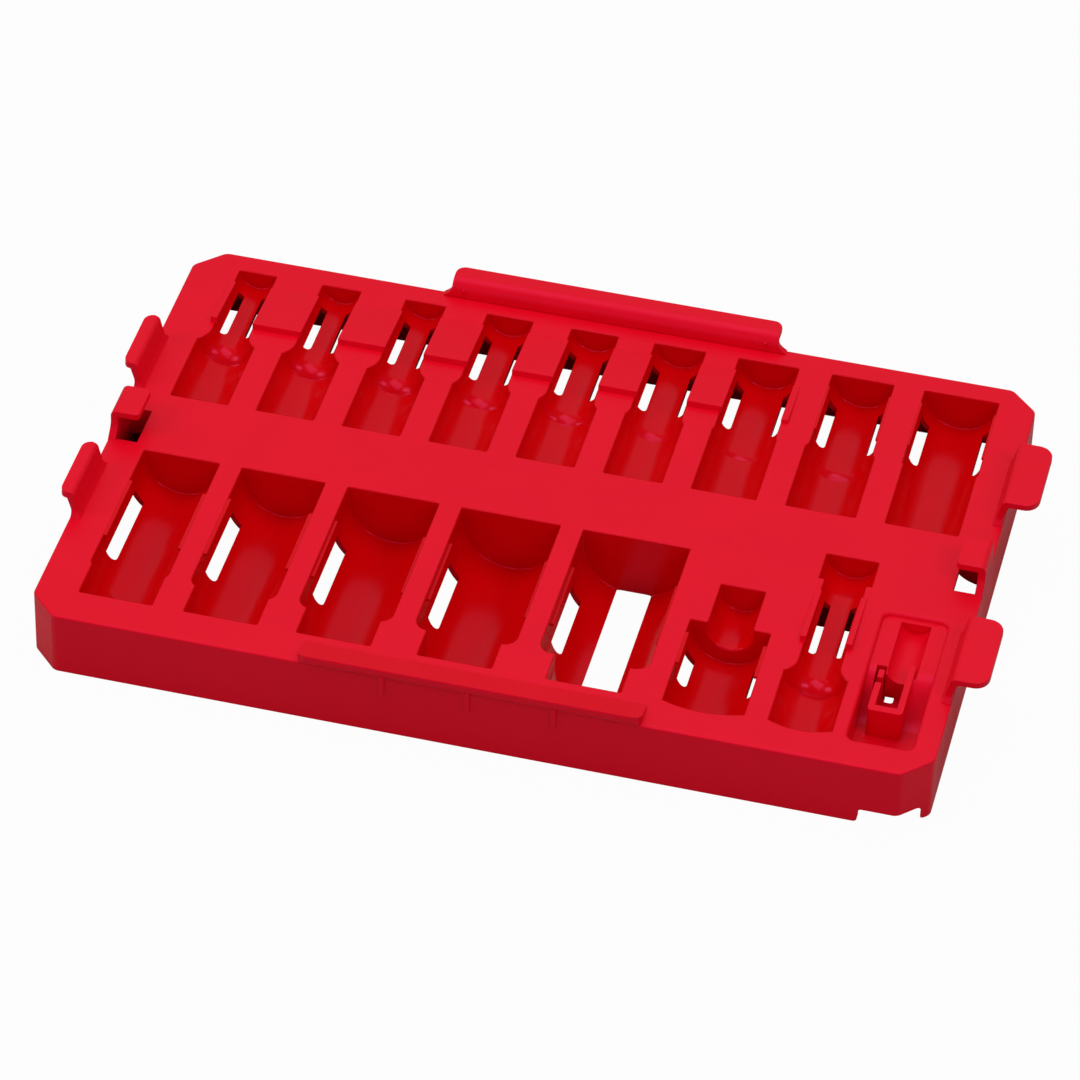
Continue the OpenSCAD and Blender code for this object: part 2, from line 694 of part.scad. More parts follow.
// Hook tabs: root line X, front end of the tab, length, side, reach past the wall
root_in = 1.8;                 // from the side wall's face in to the root's middle
root_flare = 1.7;              // how far each end of a root spreads past the tab
root_gap = 0.3;                // play at each end of a root
catch_front = catch_y0 + catch_inset - catch_flare;
catch_rear = catch_y0 + catch_l;
tabs = [
    [x0 + root_in, catch_front - left_tab_gap - root_flare - left_tab_l, left_tab_l, -1, left_reach],
    [x0 + root_in, catch_rear + left_tab_gap + root_flare, left_tab_l, -1, left_reach],
    [x1 - root_in, catch_front - front_tab_gap - root_flare - right_tab_l, right_tab_l, 1, right_reach],
    [x1 - root_in, catch_rear + rear_tab_gap + root_flare, right_tab_l, 1, right_reach]];

// Profile of a tab pointing to +X, from the root bead up and out
tab_lean = 1.6;                // how far the upright leans outwards
tab_bend_r = 1.2;
module tab_profile(reach) {
    half = hook_t / 2;
    tip = reach + root_in;
    polygon(concat(
        [[-half, 0], [half, 0], [half + tab_lean, hook_h - hook_t], [tip, hook_h - hook_t], [tip, hook_h]],
        arc(-half + tab_lean + tab_bend_r, hook_h - tab_bend_r, tab_bend_r, 90, 180, 4)));
}

module hook_tab(t) {
    color(red) translate([t[0], 0, deck_h]) mirror([t[3] < 0 ? 1 : 0, 0, 0]) {
        along_y(t[1], t[2]) tab_profile(t[4]);
        // the flared ends of the root
        for (side = [0, 1]) translate([0, t[1] + side * t[2], 0]) mirror([0, side, 0])
            along_x(-hook_t / 2, hook_t)
                polygon([[cut, 0], [-root_flare, 0], [-root_flare * 0.4, hook_t / 2], [0, 1.5 * hook_t],
                         [cut, 1.5 * hook_t]]);
        translate([0, t[1] - root_flare, 0]) rotate([-90, 0, 0])
            cylinder(d = hook_t, h = t[2] + 2 * root_flare, $fn = 48);
    }
}

deck_left();
deck_right();
deck_middle();
deck_rear();
deck_front();
for (i = [0:rear_n - 2]) rear_web(i);
for (i = [0:front_n + 1]) front_web(i);
front_wall();
rear_wall();
left_wall();
right_wall();
for (i = [0:rear_n - 1]) rear_pocket(i);
for (i = [0:front_n - 1]) front_pocket(i);
swivel_pocket();
extension_pocket();
adapter_well();
adapter_holder();
holder_finger();
rear_rail();
front_flange();
left_catch();
right_catch();
hook_tab(tabs[0]);  // left_front_tab
hook_tab(tabs[1]);  // left_rear_tab
hook_tab(tabs[2]);  // right_front_tab
hook_tab(tabs[3]);  // right_rear_tab
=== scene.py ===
import math
import bmesh
import bpy
from mathutils import Matrix, Vector


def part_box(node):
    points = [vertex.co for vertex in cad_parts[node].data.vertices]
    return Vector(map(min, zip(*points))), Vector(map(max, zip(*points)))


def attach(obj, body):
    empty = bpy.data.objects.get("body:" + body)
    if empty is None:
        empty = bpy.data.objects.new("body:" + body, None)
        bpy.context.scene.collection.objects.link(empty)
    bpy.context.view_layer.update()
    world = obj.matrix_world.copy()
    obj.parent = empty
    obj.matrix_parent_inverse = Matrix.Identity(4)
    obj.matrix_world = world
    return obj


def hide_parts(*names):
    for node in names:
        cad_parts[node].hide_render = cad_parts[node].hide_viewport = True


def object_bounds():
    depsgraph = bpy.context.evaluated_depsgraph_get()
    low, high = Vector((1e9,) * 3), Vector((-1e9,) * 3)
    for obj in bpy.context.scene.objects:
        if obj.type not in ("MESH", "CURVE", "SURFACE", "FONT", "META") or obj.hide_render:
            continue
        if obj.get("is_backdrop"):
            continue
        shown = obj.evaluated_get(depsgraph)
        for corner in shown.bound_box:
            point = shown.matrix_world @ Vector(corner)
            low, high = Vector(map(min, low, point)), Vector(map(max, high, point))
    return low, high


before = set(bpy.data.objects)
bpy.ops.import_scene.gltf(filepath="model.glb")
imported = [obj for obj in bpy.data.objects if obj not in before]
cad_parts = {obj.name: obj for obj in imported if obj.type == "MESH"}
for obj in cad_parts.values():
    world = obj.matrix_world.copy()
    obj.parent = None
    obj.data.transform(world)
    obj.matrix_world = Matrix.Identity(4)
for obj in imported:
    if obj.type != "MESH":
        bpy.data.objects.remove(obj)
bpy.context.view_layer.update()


# ---- Deck and skirt
# A flat plate whose edges turn down into a skirt all round, with the corners cut off. The whole tray is
# one shot of dyed polypropylene, satin outside where the mould is lightly blasted. The slab is hollowed
# from below, and the other sections cut their openings in it.

def moulded_plastic(name, colour, clouded, roughness, grain):
    plastic = bpy.data.materials.new(name)
    plastic.use_nodes = True
    nodes, links = plastic.node_tree.nodes, plastic.node_tree.links
    surface = nodes["Principled BSDF"]
    surface.inputs["IOR"].default_value = 1.49
    surface.inputs["Specular Tint"].default_value = (1, 0.15, 0.45, 1)
    place = nodes.new("ShaderNodeTexCoord")

    def clouds(scale, detail):
        noise = nodes.new("ShaderNodeTexNoise")
        noise.inputs["Scale"].default_value = scale
        noise.inputs["Detail"].default_value = detail
        links.new(place.outputs["Object"], noise.inputs["Vector"])
        return noise

    def relief(height, strength, depth):
        bump = nodes.new("ShaderNodeBump")
        bump.inputs["Strength"].default_value = strength
        bump.inputs["Distance"].default_value = depth
        links.new(height.outputs["Fac"], bump.inputs["Height"])
        return bump

    # the dye is a little uneven where the melt has flowed round the pockets
    flow = clouds(34, 4)
    flow.inputs["Distortion"].default_value = 0.6
    dye = nodes.new("ShaderNodeValToRGB")
    dye.color_ramp.elements[0].position = 0.3
    dye.color_ramp.elements[1].position = 0.7
    dye.color_ramp.elements[0].color = (*clouded, 1)
    dye.color_ramp.elements[1].color = (*colour, 1)
    links.new(flow.outputs["Fac"], dye.inputs["Fac"])
    links.new(dye.outputs["Color"], surface.inputs["Base Color"])

    # the mould's polish varies from place to place
    polish = clouds(90, 5)
    shine = nodes.new("ShaderNodeMapRange")
    shine.inputs["From Min"].default_value = 0.3
    shine.inputs["From Max"].default_value = 0.7
    shine.inputs["To Min"].default_value = roughness - 0.04
    shine.inputs["To Max"].default_value = roughness + 0.05
    links.new(polish.outputs["Fac"], shine.inputs["Value"])
    links.new(shine.outputs["Result"], surface.inputs["Roughness"])

    # fine grain of the mould over the slow waves of a thin wall that has shrunk
    waves = relief(clouds(60, 1), 0.2, 0.0004)
    fine = relief(clouds(2600, 2), 0.5, grain)
    links.new(waves.outputs["Normal"], fine.inputs["Normal"])
    links.new(fine.outputs["Normal"], surface.inputs["Normal"])
    return plastic


satin = moulded_plastic("satin red plastic", (0.78, 0.0005, 0.011), (0.75, 0.0004, 0.010), 0.38, 0.00003)


def only(piece):
    bpy.ops.object.select_all(action="DESELECT")
    piece.select_set(True)
    bpy.context.view_layer.objects.active = piece


def block(name, low, high):
    bpy.ops.object.select_all(action="DESELECT")
    bpy.ops.mesh.primitive_cube_add(size=1)
    piece = bpy.context.object
    piece.name = name
    for point in piece.data.vertices:
        point.co = [low[i] if point.co[i] < 0 else high[i] for i in range(3)]
    return piece


def pick_edges(piece, wanted):
    """Leaves a piece open for work with the edges selected whose two ends are wanted."""
    only(piece)
    bpy.ops.object.mode_set(mode="EDIT")
    bpy.ops.mesh.select_mode(type="EDGE")
    bpy.ops.mesh.select_all(action="DESELECT")
    grid = bmesh.from_edit_mesh(piece.data)
    for edge in grid.edges:
        if wanted(edge.verts[0].co, edge.verts[1].co):
            edge.select_set(True)
    bmesh.update_edit_mesh(piece.data)


def upright(a, b):
    return abs(a.z - b.z) > speck


def round_edges(piece, wanted, radius, steps):
    pick_edges(piece, wanted)
    bpy.ops.mesh.bevel(offset=radius, segments=steps, affect="EDGES")
    bpy.ops.object.mode_set(mode="OBJECT")


def pick_faces(piece, wanted):
    """Leaves a piece open for work with the faces selected whose direction is wanted."""
    only(piece)
    bpy.ops.object.mode_set(mode="EDIT")
    bpy.ops.mesh.select_mode(type="FACE")
    bpy.ops.mesh.select_all(action="DESELECT")
    grid = bmesh.from_edit_mesh(piece.data)
    for face in grid.faces:
        if wanted(face.normal):
            face.select_set(True)
    bmesh.update_edit_mesh(piece.data)


mm = 0.001
left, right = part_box("left_wall")[0][0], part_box("right_wall")[1][0]
front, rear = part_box("deck_front")[0][1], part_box("rear_wall")[1][1]
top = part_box("deck_middle")[1][2]
deck_t, wall_t = 2.5 * mm, 2 * mm
corner_cut, cut_r, edge_r = 8.5 * mm, 1.2 * mm, 0.5 * mm
speck = 1e-5

deck = block("deck_and_skirt", (left, front, 0), (right, rear, top))
round_edges(deck, upright, corner_cut, 1)
round_edges(deck, upright, cut_r, 3)
round_edges(deck, lambda a, b: min(a.z, b.z) > top - speck, edge_r, 3)
pick_faces(deck, lambda direction: direction.z < -0.9)
bpy.ops.mesh.inset(thickness=wall_t)
bpy.ops.mesh.extrude_region_move(TRANSFORM_OT_translate={"value": (0, 0, top - deck_t)})
bpy.ops.object.mode_set(mode="OBJECT")


# ---- Rear pockets
# Nine troughs for deep sockets lying down, thin walls of the same plastic moulded into the deck, and glossy
# inside where the mould's cores are polished. Their insides are a darker, deeper red than the deck: painted
# shade. Each has a wide drive end in front, a rounded shoulder, and a nose end with a window in each wall.
# the insides' base colour is darker than the deck's: painted shade for the light that falls less into the
# pockets
polished_shaded_plastic = moulded_plastic("polished red plastic with painted shade", (0.66, 0.0002, 0.002), (0.63, 0.0001, 0.0015), 0.2, 0.00001)


def combine(piece, others, operation="DIFFERENCE"):
    for other in others:
        only(piece)
        change = piece.modifiers.new("combine", "BOOLEAN")
        change.operation = operation
        change.solver = "MANIFOLD"
        change.object = other
        bpy.ops.object.modifier_apply(modifier=change.name)
        bpy.data.objects.remove(other)


def both_at(axis, value, a, b):
    return abs(a[axis] - value) < speck and abs(b[axis] - value) < speck


def arc(cx, cy, radius, start, end, steps=8):
    turn = [math.radians(start + (end - start) * k / steps) for k in range(steps + 1)]
    return [(cx + radius * math.cos(a), cy + radius * math.sin(a)) for a in turn]


def both_sides(half, cx):
    """Closed outline from the half of it that lies on the right."""
    return [(cx + r, y) for r, y in half] + [(cx - r, y) for r, y in reversed(half[1:-1])]


def nearest(outline, point):
    away = [math.hypot(x - point.x, y - point.y) for x, y in outline]
    return away.index(min(away))


def raise_rim(piece, outline_at, old, rings):
    """Draws the selected edge of a piece up through rings of a growth and a height."""
    for growth, height in rings:
        bpy.ops.mesh.extrude_region_move()
        new = outline_at(growth)
        grid = bmesh.from_edit_mesh(piece.data)
        for point in grid.verts:
            if point.select:
                x, y = new[nearest(old, point.co)]
                point.co = (x, y, height)
        bmesh.update_edit_mesh(piece.data)
        old = new
    bpy.ops.object.mode_set(mode="OBJECT")


def trough(half, cx, axis_z, rings):
    """Spins a pocket's half outline into its round bottom, then raises its rim."""
    growth, height = rings[0]
    outline = both_sides(half(growth), cx)
    bpy.ops.object.select_all(action="DESELECT")
    bpy.ops.mesh.primitive_circle_add(vertices=len(outline), radius=mm)
    piece = bpy.context.object
    for point, (x, y) in zip(piece.data.vertices, outline):
        point.co = (x, y, axis_z)
    pick_edges(piece, lambda a, b: min(a.x, b.x) > cx - speck)
    bpy.ops.mesh.spin(steps=spin_steps, angle=math.pi, center=(cx, 0, axis_z), axis=(0, -1, 0))
    bpy.ops.mesh.select_all(action="SELECT")
    bpy.ops.mesh.remove_doubles(threshold=1e-6)
    bpy.ops.mesh.select_all(action="DESELECT")
    grid = bmesh.from_edit_mesh(piece.data)
    for edge in [edge for edge in grid.edges if len(edge.link_faces) == 1]:
        edge.select_set(True)
    if height < axis_z + speck:
        for point in grid.verts:
            point.co.z = min(point.co.z, height)
        rings = rings[1:]
    bmesh.update_edit_mesh(piece.data)
    raise_rim(piece, lambda g: both_sides(half(g), cx), outline, rings)
    return piece


def flare(radius, turns):
    """Rings of a rim that rounds outwards to the deck's level."""
    return [(radius * (1 - math.cos(a)), top - radius * (1 - math.sin(a))) for a in map(math.radians, turns)]


def face_outwards(piece):
    only(piece)
    bpy.ops.object.mode_set(mode="EDIT")
    bpy.ops.mesh.select_all(action="SELECT")
    bpy.ops.mesh.normals_make_consistent(inside=False)
    bpy.ops.object.mode_set(mode="OBJECT")


shell_t, rim_r, spin_steps = 1.6 * mm, 0.4 * mm, 36


def pocket(name, half, cx, drop):
    """Thin shell of a pocket: the polished inside, the outside, and the rounded rim that joins them."""
    axis_z = top - drop
    inner = trough(half, cx, axis_z, flare(rim_r, (0, 30, 60, 90)) + [(shell_t, top)])
    outer = trough(half, cx, axis_z, [(shell_t, min(axis_z, top - deck_t)), (shell_t, top)])
    bpy.ops.object.select_all(action="DESELECT")
    outer.select_set(True)
    inner.select_set(True)
    bpy.context.view_layer.objects.active = inner
    bpy.ops.object.join()
    inner.name = name + "_shell"
    bpy.ops.object.mode_set(mode="EDIT")
    bpy.ops.mesh.select_all(action="SELECT")
    bpy.ops.mesh.remove_doubles(threshold=2e-6)
    bpy.ops.object.mode_set(mode="OBJECT")
    face_outwards(inner)
    return inner


def windows(piece, cx, wall_r, y, length, axis_z):
    """Openings below the snap lips, and the cut at the level on which the tray stands."""
    wide, sill, corner_r = 3.2 * mm, 3.8 * mm, 2.6 * mm
    cutters = [block("below", (left, front, -30 * mm), (right, rear, 0))]
    for side in (-1, 1):
        inner_x = cx + side * (wall_r - wide)
        outer_x = cx + side * (wall_r + 2 * shell_t)
        low_x, high_x = sorted((inner_x, outer_x))
        window = block("window", (low_x, y, -mm), (high_x, y + length, axis_z - sill))
        round_edges(window, lambda a, b: both_at(0, inner_x, a, b) and upright(a, b) and a.y < y + speck,
                    corner_r, 6)
        cutters.append(window)
    combine(piece, cutters)


def lip(piece, cx, wall_r, reach, y, length, low, high):
    """A rounded snap lip on each wall."""
    bead_r = 0.3 * mm
    for side in (-1, 1):
        inner_x = cx + side * (wall_r - reach)
        low_x, high_x = sorted((inner_x, cx + side * (wall_r + shell_t - speck)))
        bead = block("lip", (low_x, y, low), (high_x, y + length, high))
        round_edges(bead, lambda a, b: both_at(0, inner_x, a, b), bead_r, 3)
        combine(piece, [bead], "UNION")


def prism(name, outline, low, high):
    bpy.ops.object.select_all(action="DESELECT")
    bpy.ops.mesh.primitive_circle_add(vertices=len(outline), radius=mm, fill_type="NGON")
    piece = bpy.context.object
    piece.name = name
    for point, (x, y) in zip(piece.data.vertices, outline):
        point.co = (x, y, low)
    bpy.ops.object.mode_set(mode="EDIT")
    bpy.ops.mesh.select_all(action="SELECT")
    bpy.ops.mesh.extrude_region_move(TRANSFORM_OT_translate={"value": (0, 0, high - low)})
    bpy.ops.object.mode_set(mode="OBJECT")
    face_outwards(piece)
    return piece


def finish_piece(piece, body, plastic, slot, *nodes):
    only(piece)
    bpy.ops.object.shade_smooth_by_angle(angle=math.radians(35))
    flat = piece.modifiers.new("flat faces stay flat", "WEIGHTED_NORMAL")
    flat.keep_sharp = True
    bpy.ops.object.modifier_apply(modifier=flat.name)
    piece.data.materials.clear()
    piece.data.materials.append(plastic)
    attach(piece, body)
    if nodes:
        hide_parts(*nodes)


opening_depth = 6 * mm


def finish_pocket(piece, node, half, cx):
    """Makes a pocket glossy, with a darker red inside painted as shade, its flat rim as satin as the deck,
    and opens the deck round it.
    """
    finish_piece(piece, "tray", polished_shaded_plastic, "red_gloss", node)
    piece.data.materials.append(satin)
    for face in piece.data.polygons:
        if face.center.z > top - speck:
            face.material_index = 1
    combine(deck, [prism("opening", both_sides(half(shell_t), cx), top - opening_depth, top + mm)])


def crest(drive, narrow, y, g):
    """A shoulder that starts at a corner of the drive end and rounds over into a narrower end."""
    s, r = drive - narrow, crest_r - g
    h, turned = crest_r * math.sin(math.acos(1 - s / crest_r)), math.degrees(math.acos(1 - s / r))
    # the arc stops a little short of the corner, which keeps a point of its own
    shoulder = arc(narrow + crest_r, y + h, r, 180 + turned * 0.95, 180, 10)
    return [(drive + g, 2 * (y + h - r * math.sin(math.radians(turned))) - shoulder[0][1])] + shoulder


crest_r = 6.5 * mm
# each one's drive end, nose end and depth of its axis below the deck, in mm
rear_pockets = [(18.1, 12.0, 0), (18.1, 12.4, 0), (18.1, 12.8, 0), (18.1, 14.7, 0), (18.1, 14.9, 0),
                (18.1, 16.1, 0), (19.9, 19.0, 0.6), (21.3, 19.4, 1.3), (22.3, 23.2, 1.1)]
drive_l, foot_r = 29 * mm, 0.45 * mm
rear_lip_l, rear_lip_back, rear_lip_out, lip_t = 21.2 * mm, 6.1 * mm, 0.5 * mm, mm
rear_middles = []
for i, (drive_w, nose_w, drop) in enumerate(rear_pockets):
    name = f"rear_pocket_{i + 1}"
    low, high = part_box(name)
    cx = (low[0] + high[0]) / 2
    ya, yb = low[1] + shell_t, high[1] - shell_t
    drive, nose, step = drive_w / 2 * mm, nose_w / 2 * mm, ya + drive_l

    def half(g):
        """Right half of the pocket's outline from above, grown by g."""
        square = [(drive + g, step - g), (nose + g, step - g)]
        shoulder = square if nose > drive else crest(drive, nose, step, g)
        return ([(0, ya - g)] + arc(drive - foot_r, ya + foot_r, foot_r + g, -90, 0, 3) + shoulder
                + arc(nose - foot_r, yb - foot_r, foot_r + g, 0, 90, 3) + [(0, yb + g)])

    shell = pocket(name, half, cx, drop * mm)
    lip_y = yb - rear_lip_back - rear_lip_l
    windows(shell, cx, nose, lip_y, rear_lip_l, top - drop * mm)
    if i >= 7:
        lip(shell, cx, nose, rear_lip_out, lip_y, rear_lip_l, top - lip_t, top - speck)
    finish_pocket(shell, name, half, cx)
    rear_middles.append((cx, nose))


# ---- Front pockets
# Five wider troughs with the same drive end, moulded in the same way. Their nose ends are rounded in front
# and sit deeper from one to the next, so that the last one breaks through the floor. A lip stands out of
# each wall.

# each one's nose end, depth of its axis below the deck and extra length of its windows, in mm
front_pockets = [(23.8, 2.7, 3.4), (26, 3.5, 2.6), (28.3, 4.6, 1.6), (30.4, 5.3, 0), (32.6, 5.9, 0)]
front_drive, front_drive_l, shoulder_r = 11.15 * mm, 15.2 * mm, 4 * mm
front_lip_l, front_lip_back, lip_rise, lip_out = 26 * mm, 14.9 * mm, 3.4 * mm, mm
for i, (nose_w, drop, longer) in enumerate(front_pockets):
    name = f"front_pocket_{i + 1}"
    low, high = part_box(name)
    cx = (low[0] + high[0]) / 2
    ya, yb = low[1] + shell_t, high[1] - shell_t
    nose, step = nose_w / 2 * mm, ya + front_drive_l
    wide_nose = nose - shoulder_r > front_drive

    def half(g):
        r, middle = shoulder_r + g, nose - shoulder_r
        c = max(0, (front_drive + g - middle) / r)
        turned = -math.degrees(math.acos(c))
        # the corner's own point lies just in front of the arc
        corner_y = step + r * math.sin(math.radians(turned)) - 0.03 * mm
        corner = [(front_drive + g, corner_y)] if wide_nose else []
        return ([(0, ya - g)] + arc(front_drive - foot_r, ya + foot_r, foot_r + g, -90, 0, 3) + corner
                + arc(middle, step, r, turned, 0)
                + arc(nose - foot_r, yb - foot_r, foot_r + g, 0, 90, 3) + [(0, yb + g)])

    shell = pocket(name, half, cx, drop * mm)
    lip_y, axis_z = yb - front_lip_back - front_lip_l, top - drop * mm
    windows(shell, cx, nose, lip_y, front_lip_l + longer * mm, axis_z)
    lip_z = min(axis_z + lip_rise, top - speck)
    lip(shell, cx, nose, lip_out, lip_y, front_lip_l, lip_z - lip_t, lip_z)
    finish_pocket(shell, name, half, cx)


# ---- Swivel pocket
# A trough for a swivel adapter, moulded like the others: a wide front part with a bowed end and a narrow
# neck behind it, with short lips and windows on the wide part.
bow, bow_steps = 2.2 * mm, 8


def bowed_end(radius, y, g):
    parts = [k / bow_steps for k in range(bow_steps + 1)]
    return [((radius + g) * part, y - g - bow * (1 - part ** 2)) for part in parts]


low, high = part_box("swivel_pocket")
cx = (low[0] + high[0]) / 2
swivel, neck, neck_l = 12.05 * mm, 6.7 * mm, 17.7 * mm
swivel_drop, lip_l, lip_back = 2.5 * mm, 13.5 * mm, 6 * mm
ya, yb = low[1] + shell_t + bow, high[1] - shell_t
step = yb - neck_l


def half(g):
    r = max(0.02 * mm, mm - g)
    return (bowed_end(swivel, ya, g) + arc(swivel - foot_r, step - foot_r, foot_r + g, 0, 90, 3)
            + arc(neck + g + r, step + g + r, r, 270, 180, 5)
            + arc(neck - foot_r, yb - foot_r, foot_r + g, 0, 90, 3) + [(0, yb + g)])


shell = pocket("swivel_pocket", half, cx, swivel_drop)
lip_y = step - lip_back - lip_l
windows(shell, cx, swivel, lip_y, lip_l, top - swivel_drop)
lip(shell, cx, swivel, lip_out, lip_y, lip_l, top - lip_t, top - speck)
finish_pocket(shell, "swivel_pocket", half, cx)


# ---- Extension pocket
# A long trough for an extension bar, moulded like the others: a bowed drive end, a rounded shoulder, a
# neck with windows, and a wider square end behind. A plastic foot under that end reaches the ground, and
# its dark face shows through the windows.

def strip(name, outline, axis, start, end):
    """A strip of one profile along X or Y."""
    piece = prism(name, outline, 0, end - start)
    for point in piece.data.vertices:
        u, v, w = point.co
        point.co = (start + w, u, v) if axis == "x" else (u, start + w, v)
    face_outwards(piece)
    return piece


def soften(piece, radius, steps=2, angle=40):
    """Rounds every sharp edge of a piece."""
    only(piece)
    edge = piece.modifiers.new("rounding", "BEVEL")
    edge.width = radius
    edge.segments = steps
    edge.limit_method = "ANGLE"
    edge.angle_limit = math.radians(angle)
    bpy.ops.object.modifier_apply(modifier=edge.name)


low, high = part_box("extension_pocket")
cx = (low[0] + high[0]) / 2
drive, neck, square, square_l = 9.35 * mm, 6.2 * mm, 7.9 * mm, 11.4 * mm
bar_drive_l, lip_l, lip_back = 22 * mm, 23.5 * mm, 5.5 * mm
ya, yb = low[1] + shell_t + bow, high[1] - shell_t
step = ya + bar_drive_l


def half(g):
    return (bowed_end(drive, ya, g) + crest(drive, neck, step, g)
            + [(neck + g, yb - square_l - g), (square + g, yb - square_l - g)]
            + arc(square - foot_r, yb - foot_r, foot_r + g, 0, 90, 3) + [(0, yb + g)])


shell = pocket("extension_pocket", half, cx, 0)
lip_y = yb - square_l - lip_back - lip_l
windows(shell, cx, neck, lip_y, lip_l, top)
finish_pocket(shell, "extension_pocket", half, cx)
foot_y, foot_t, foot_w = yb - square_l + 2.4 * mm, 1.6 * mm, 22 * mm
foot = block("extension_foot", (cx - foot_w / 2, foot_y, 0),
             (cx + foot_w / 2, foot_y + foot_t, top - deck_t + 0.5 * mm))
round_end = [(cx + u, top + v) for u, v in arc(0, 0, square + 0.8 * mm, 0, 350, 35)]
combine(foot, [strip("round", round_end, "y", foot_y - mm, foot_y + foot_t + mm)])
soften(foot, 0.2 * mm)
finish_piece(foot, "tray", satin, "red_satin")


# ---- Snap lands
# Low solid wedges, moulded on the deck between the narrow rear pockets and beside the bar's neck, rise
# towards the front. All but the low one after pocket 7 stand out over a pocket and hold its tool down.
bar_over = 0.3 * mm
bar_lands = [(cx + neck - bar_over, cx + neck + shell_t, lip_y, lip_l),
             (cx - neck - shell_t, cx - neck + bar_over, lip_y, lip_l)]
low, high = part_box("rear_pocket_1")
land_y = high[1] - shell_t - rear_lip_back - rear_lip_l
over, sunk, land_h, end_land_h, land_r = 0.5 * mm, 0.2 * mm, 2 * mm, 1.2 * mm, 0.2 * mm
(cx, nose), (last_cx, last_nose) = rear_middles[0], rear_middles[6]
lands = [(cx - nose - shell_t, cx - nose + over, land_y, rear_lip_l)]
for (cx, nose), (next_cx, next_nose) in zip(rear_middles[:6], rear_middles[1:7]):
    lands.append((cx + nose, next_cx - next_nose + over, land_y, rear_lip_l))
lands.append((last_cx + last_nose, last_cx + last_nose + 2.2 * mm, land_y, rear_lip_l - 2.7 * mm))
for i, (xa, xb, ya, length) in enumerate(lands + bar_lands):
    height = end_land_h if i == 7 else land_h
    side = [(ya - 0.3 * mm, top - sunk), (ya + 0.1 * mm, top + height),
            (ya + length, top + height / 10), (ya + length, top - sunk)]
    land = strip(f"snap_land_{i + 1}", side, "x", xa, xb)
    round_edges(land, lambda a, b: min(a.z, b.z) > top or abs(a.z - b.z) > height, land_r, 3)
    finish_piece(land, "tray", satin, "red_satin")


# ---- Side holes and corner cut-out
# The deck has a hole beside each side wall, under the plate of its catch, and the skirt has a low cut-out
# near its front right corner with a small toe left beside it. All three are left open by the mould.
hole_w, hole_l = 7 * mm, 15.5 * mm
for side in ("left", "right"):
    low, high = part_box(side + "_catch")
    x = left + wall_t if side == "left" else right - wall_t - hole_w
    combine(deck, [block("hole", (x, high[1] - hole_l, 0), (x + hole_w, high[1], top + mm))])
notch_w, notch_h, notch_side, r = 17.4 * mm, 4.9 * mm, 2.6 * mm, 1.2 * mm
xb = right - notch_side
xa = xb - notch_w
profile = ([(xa - r, -mm)] + arc(xa - r, r, r, -90, 0, 5) + arc(xa + r, notch_h - r, r, 180, 90, 5)
           + arc(xb - r, notch_h - r, r, 90, 0, 5) + arc(xb + r, r, r, 180, 270, 5) + [(xb + r, -mm)])
combine(deck, [strip("notch", profile, "y", front - mm, front + 10 * mm)])


# ---- Adapter well
# A sunken place for two drive adapters, moulded into the deck: a shallow floor behind with a round
# groove, and a smooth slope down to a deep floor in front. The same thin wall follows it below.

low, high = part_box("adapter_well")
well_x = (low[0] + high[0]) / 2
well_w, ya, yb = high[0] - low[0] - 2 * shell_t, low[1] + shell_t, high[1] - shell_t
shallow_d, deep_d, shelf_l, slope_l, well_corner = 1.2 * mm, 11.3 * mm, 21.7 * mm, 16 * mm, 2.5 * mm
shallow, deep = top - shallow_d, top - deep_d
slope_top = yb - shelf_l
slope_foot, slope_steps = slope_top - slope_l, 16


def rounded(cx, x, y0, y1, r):
    """Rectangle with round corners, x to each side of cx."""
    return (arc(cx + x - r, y0 + r, r, -90, 0) + arc(cx + x - r, y1 - r, r, 0, 90)
            + arc(cx - x + r, y1 - r, r, 90, 180) + arc(cx - x + r, y0 + r, r, 180, 270))


def well_outline(g):
    return rounded(well_x, well_w / 2 + g, ya - g, yb + g, well_corner + g)


def floor_line(drop):
    parts = [k / slope_steps for k in range(slope_steps + 1)]
    wave = [(slope_top - slope_l * part, deep - drop + (shallow - deep) * (1 + math.cos(math.pi * part)) / 2)
            for part in parts]
    bend_r, past_y, before_y, over_z = 8 * mm, yb + 3 * mm, ya - 4 * mm, top + 3 * mm
    return ([(past_y, shallow - drop)] + wave + arc(ya + bend_r, deep + bend_r - drop, bend_r, 270, 180)
            + [(before_y, deep + bend_r - drop), (before_y, over_z), (past_y, over_z)])


def above_floor(name, drop):
    return strip(name, floor_line(drop), "x", well_x - 20 * mm, well_x + 20 * mm)


combine(deck, [prism("well", well_outline(shell_t), top - opening_depth, top + mm)])
well_rim, floor_r = 1.0 * mm, 0.7 * mm
hollow = prism("hollow", well_outline(0), mm, top - well_rim)
pick_faces(hollow, lambda direction: direction.z > 0.9)
raise_rim(hollow, well_outline, well_outline(0), flare(well_rim, (30, 60, 90)) + [(well_rim, top + 2 * mm)])
combine(hollow, [above_floor("floor", 0)], "INTERSECT")
soften(hollow, floor_r, 3, 60)

holder_x, holder_y, holder_w, holder_t = well_x - 1.4 * mm, slope_foot - 4 * mm, 6.5 * mm, 1.95 * mm
step_y, front_t, groove_end = holder_y + 17.1 * mm, 2.5 * mm, yb - 1.7 * mm
groove_x, groove_z, groove_r, groove_steps = well_x + 0.3 * mm, top - 0.15 * mm, 4.65 * mm, 48
finger_x, finger_y, finger_l = holder_x - (holder_w + holder_t) / 2, holder_y + 14.5 * mm, 3.7 * mm
room_out, room_in, room_end = 0.8 * mm, 0.3 * mm, 1.5 * mm


def groove(name, g):
    ring = [(groove_x + (groove_r + g) * math.cos(a), groove_z + (groove_r + g) * math.sin(a))
            for a in [math.tau * k / groove_steps for k in range(groove_steps)]]
    return strip(name, ring, "y", step_y, groove_end + g)


